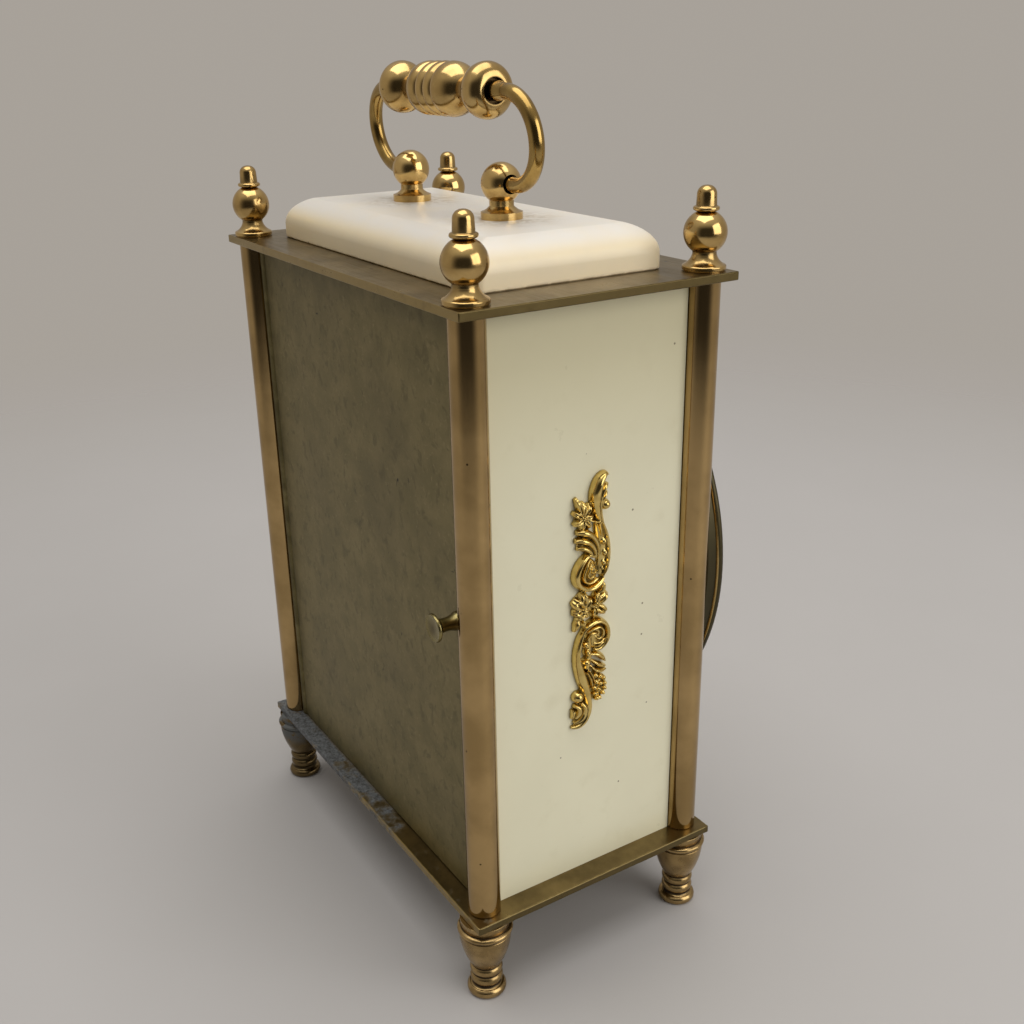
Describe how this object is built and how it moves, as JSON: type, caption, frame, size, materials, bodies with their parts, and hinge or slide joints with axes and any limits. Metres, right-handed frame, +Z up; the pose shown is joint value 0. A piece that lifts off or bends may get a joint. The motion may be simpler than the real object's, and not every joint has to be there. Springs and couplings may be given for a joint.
{
  "type": "mantel clock",
  "caption": "Carriage-style brass mantel clock with corner columns, turned feet and finials, cream panels, a round domed dial, a hinged rear door and a swinging handle.",
  "frame": {"origin": "on the table, under the middle of the object's box", "axes": "+Z up, -Y out of the dial, +Y out of the rear door, +X to the right seen from the front"},
  "size_m": [0.1278, 0.0814, 0.2169],
  "materials": {
    "plate_brass": "dull tarnished brass with brighter edges",
    "column_brass": "polished tube, browned",
    "polished_brass": "bright polish with small pits",
    "antique_brass": "turned, dark in the grooves",
    "gilt": "bright gilt casting",
    "door_brass": "mottled olive tarnish",
    "cream_block": "cream lacquer, satin gloss",
    "cream_panel": "cream gloss sheet",
    "dial_paint": "ivory dial enamel",
    "black_paint": "black enamel",
    "bezel_brass": "polished",
    "glass": "clear",
    "movement_brass": "brushed brass",
    "steel": "ground steel"
  },
  "bodies": {
    "case": {"base_plate": "plate_brass", "top_plate": "plate_brass", "column_front_left": "column_brass", "column_front_right": "column_brass", "column_rear_left": "column_brass", "column_rear_right": "column_brass", "tie_rods": "column_brass", "finial_front_left": "polished_brass", "finial_front_right": "polished_brass", "finial_rear_left": "polished_brass", "finial_rear_right": "polished_brass", "handle_post_left": "polished_brass", "handle_post_right": "polished_brass", "foot_front_left": "antique_brass", "foot_front_right": "antique_brass", "foot_rear_left": "antique_brass", "foot_rear_right": "antique_brass", "side_ornament_left": "gilt", "side_ornament_right": "gilt", "door_hinge_pins": "door_brass", "door_catch": "door_brass", "top_block": "cream_block", "side_panel_left": "cream_panel", "side_panel_right": "cream_panel", "front_panel": "cream_panel", "dial_plate": "dial_paint", "dial_numerals": "black_paint", "bezel": "bezel_brass", "dial_glass": "glass", "movement_front_plate": "movement_brass", "movement_back_plate": "movement_brass", "movement_pillars": "movement_brass", "pallet_bridge": "movement_brass", "dial_screws": "steel", "movement_screws": "steel"},
    "door": {"rear_door": "door_brass", "door_knob": "door_brass"},
    "handle": {"handle_bail": "polished_brass"},
    "grip": {"handle_grip": "polished_brass"},
    "hands": {"centre_arbor": "steel", "minute_hand": "black_paint", "hand_nut": "bezel_brass", "set_knob": "movement_brass"},
    "hour": {"hour_wheel": "movement_brass", "hour_hand": "black_paint"},
    "motion": {"minute_wheel": "movement_brass"},
    "winding": {"winding_arbor": "steel", "ratchet_wheel": "steel", "winding_key": "movement_brass"},
    "pawl": {"click": "steel"},
    "barrel": {"mainspring_barrel": "movement_brass", "mainspring": "steel"},
    "intermediate": {"intermediate_wheel": "movement_brass"},
    "centre": {"centre_wheel": "movement_brass"},
    "third": {"third_wheel": "movement_brass"},
    "fourth": {"fourth_wheel": "movement_brass"},
    "escape": {"escape_wheel": "movement_brass"},
    "lever": {"pallet_lever": "steel"},
    "balance": {"balance_wheel": "movement_brass", "hairspring": "steel"}
  },
  "joints": [
    {"name": "door_hinge", "type": "hinge", "parent": "case", "child": "door", "pos_m": [0.0512, 0.03322, 0.0976], "axis": [0, 0, -1], "range_deg": [0, 110]},
    {"name": "handle_swing", "type": "hinge", "parent": "case", "child": "handle", "pos_m": [0, 0.00302, 0.1908], "axis": [1, 0, 0], "range_deg": [-84, 96]},
    {"name": "grip_spin", "type": "hinge", "parent": "handle", "child": "grip", "pos_m": [0, 0.00512, 0.21069], "axis": [1, 0, 0], "continuous": true},
    {"name": "hand_turn", "type": "hinge", "parent": "case", "child": "hands", "pos_m": [0, 0.00103, 0.0976], "axis": [0, 1, 0], "continuous": true},
    {"name": "hour_turn", "type": "hinge", "parent": "case", "child": "hour", "pos_m": [0, 0.00103, 0.0976], "axis": [0, 1, 0], "continuous": true},
    {"name": "minute_wheel_turn", "type": "hinge", "parent": "case", "child": "motion", "pos_m": [-0.00848, 0.00103, 0.10608], "axis": [0, 1, 0], "continuous": true},
    {"name": "winding_turn", "type": "hinge", "parent": "case", "child": "winding", "pos_m": [-0.01694, 0.00103, 0.08364], "axis": [0, 1, 0], "continuous": true},
    {"name": "click_lift", "type": "hinge", "parent": "case", "child": "pawl", "pos_m": [-0.00736, 0.00103, 0.08963], "axis": [0, 1, 0], "range_deg": [0, 12], "stiffness_Nm_per_rad": 0.00002, "springref_deg": -11.46},
    {"name": "fourth_turn", "type": "hinge", "parent": "case", "child": "fourth", "pos_m": [0.02152, 0.00103, 0.10675], "axis": [0, 1, 0], "continuous": true},
    {"name": "escape_turn", "type": "hinge", "parent": "case", "child": "escape", "pos_m": [0.02386, 0.00103, 0.09345], "axis": [0, 1, 0], "continuous": true},
    {"name": "third_turn", "type": "hinge", "parent": "case", "child": "third", "pos_m": [0.0081, 0.00103, 0.11163], "axis": [0, 1, 0], "continuous": true},
    {"name": "centre_turn", "type": "hinge", "parent": "case", "child": "centre", "pos_m": [0, 0.00103, 0.0976], "axis": [0, 1, 0], "continuous": true},
    {"name": "intermediate_turn", "type": "hinge", "parent": "case", "child": "intermediate", "pos_m": [0.00374, 0.00103, 0.07999], "axis": [0, 1, 0], "continuous": true},
    {"name": "barrel_turn", "type": "hinge", "parent": "case", "child": "barrel", "pos_m": [-0.01694, 0.00103, 0.08364], "axis": [0, 1, 0], "continuous": true},
    {"name": "lever_rock", "type": "hinge", "parent": "case", "child": "lever", "pos_m": [0.02268, 0.00103, 0.08503], "axis": [0, 1, 0], "range_deg": [-4, 4]},
    {"name": "balance_swing", "type": "hinge", "parent": "case", "child": "balance", "pos_m": [0.02164, 0.00103, 0.07761], "axis": [0, 1, 0], "range_deg": [-135, 135], "stiffness_Nm_per_rad": 0.000014, "deforming": ["hairspring"]}
  ],
  "couplings": [
    {"joint": "hour_turn", "follows": "hand_turn", "ratio": 0.083333},
    {"joint": "minute_wheel_turn", "follows": "hand_turn", "ratio": -0.33333},
    {"joint": "escape_turn", "follows": "fourth_turn", "ratio": -8},
    {"joint": "third_turn", "follows": "fourth_turn", "ratio": -0.13333},
    {"joint": "centre_turn", "follows": "fourth_turn", "ratio": 0.016667},
    {"joint": "intermediate_turn", "follows": "fourth_turn", "ratio": -0.0033333},
    {"joint": "barrel_turn", "follows": "fourth_turn", "ratio": 0.00055556}
  ]
}
